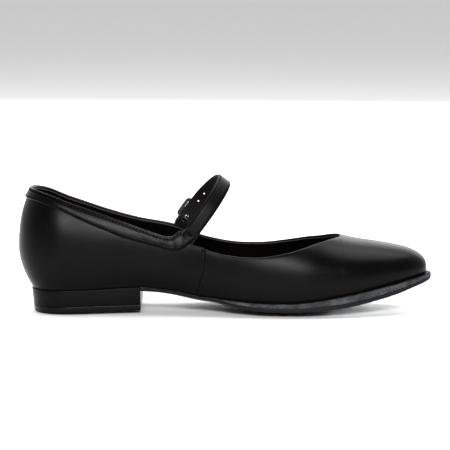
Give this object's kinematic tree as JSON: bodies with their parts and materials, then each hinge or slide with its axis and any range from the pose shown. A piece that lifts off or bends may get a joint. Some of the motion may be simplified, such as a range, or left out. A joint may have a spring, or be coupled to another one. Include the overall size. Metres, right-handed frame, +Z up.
{
  "type": "shoe",
  "caption": "Low-heeled shoe with an instep strap fastened by a prong buckle, a scooped vamp, a welted sole and metal taps set into the toe and the heel.",
  "frame": {"origin": "centre of the bounding box on the floor", "axes": "+X from heel to toe, +Y to the outer side of the foot, +Z up"},
  "size_m": [0.2537, 0.0789, 0.0836],
  "materials": {
    "upper_leather": "smooth black leather, satin",
    "lining_leather": "dark brown lining leather, matt",
    "strap_lining": "dark purple-brown leather, matt",
    "stiffener": "resin-stiffened cloth",
    "counter_leather": "leather board",
    "board": "pressed fibre board",
    "spring_steel": "blued spring steel",
    "cork": "granulated cork",
    "welt_leather": "grey-black, speckled rough edge",
    "sole_leather": "black waxed sole leather",
    "tap_metal": "cast and polished",
    "screw_steel": "plated steel",
    "heel_plastic": "satin black",
    "top_rubber": "black, slightly glossy edge",
    "buckle_metal": "dark plated, satin"
  },
  "bodies": {
    "shoe": {"vamp": "upper_leather", "quarter_medial": "upper_leather", "quarter_lateral": "upper_leather", "collar_band": "upper_leather", "vamp_lining": "lining_leather", "quarter_lining": "lining_leather", "toe_puff": "stiffener", "heel_counter": "counter_leather", "insole_board": "board", "sock_lining": "lining_leather", "shank": "spring_steel", "bottom_filler": "cork", "welt": "welt_leather", "outsole": "sole_leather", "toe_tap": "tap_metal", "toe_tap_screws": "screw_steel", "heel_block": "heel_plastic", "heel_nails": "screw_steel", "top_piece": "top_rubber", "heel_tap": "tap_metal", "heel_tap_screws": "screw_steel", "strap_root": "upper_leather", "buckle_tab": "upper_leather"},
    "strap": {"strap": "upper_leather", "strap_lining": "strap_lining"},
    "buckle": {"buckle_frame": "buckle_metal"},
    "prong": {"buckle_prong": "buckle_metal"}
  },
  "joints": [
    {"name": "strap_open", "type": "hinge", "parent": "shoe", "child": "strap", "pos_m": [-0.01924, -0.0235, 0.05168], "axis": [0.8, 0, -0.6], "range_deg": [0, 90], "deforming": ["strap", "strap_lining"]},
    {"name": "buckle_tilt", "type": "hinge", "parent": "shoe", "child": "buckle", "pos_m": [-0.02484, 0.0324, 0.05213], "axis": [-0.8, 0, 0.6], "range_deg": [0, 35]},
    {"name": "prong_swing", "type": "hinge", "parent": "buckle", "child": "prong", "pos_m": [-0.02484, 0.0324, 0.05213], "axis": [-0.8, 0, 0.6], "range_deg": [0, 32]}
  ]
}
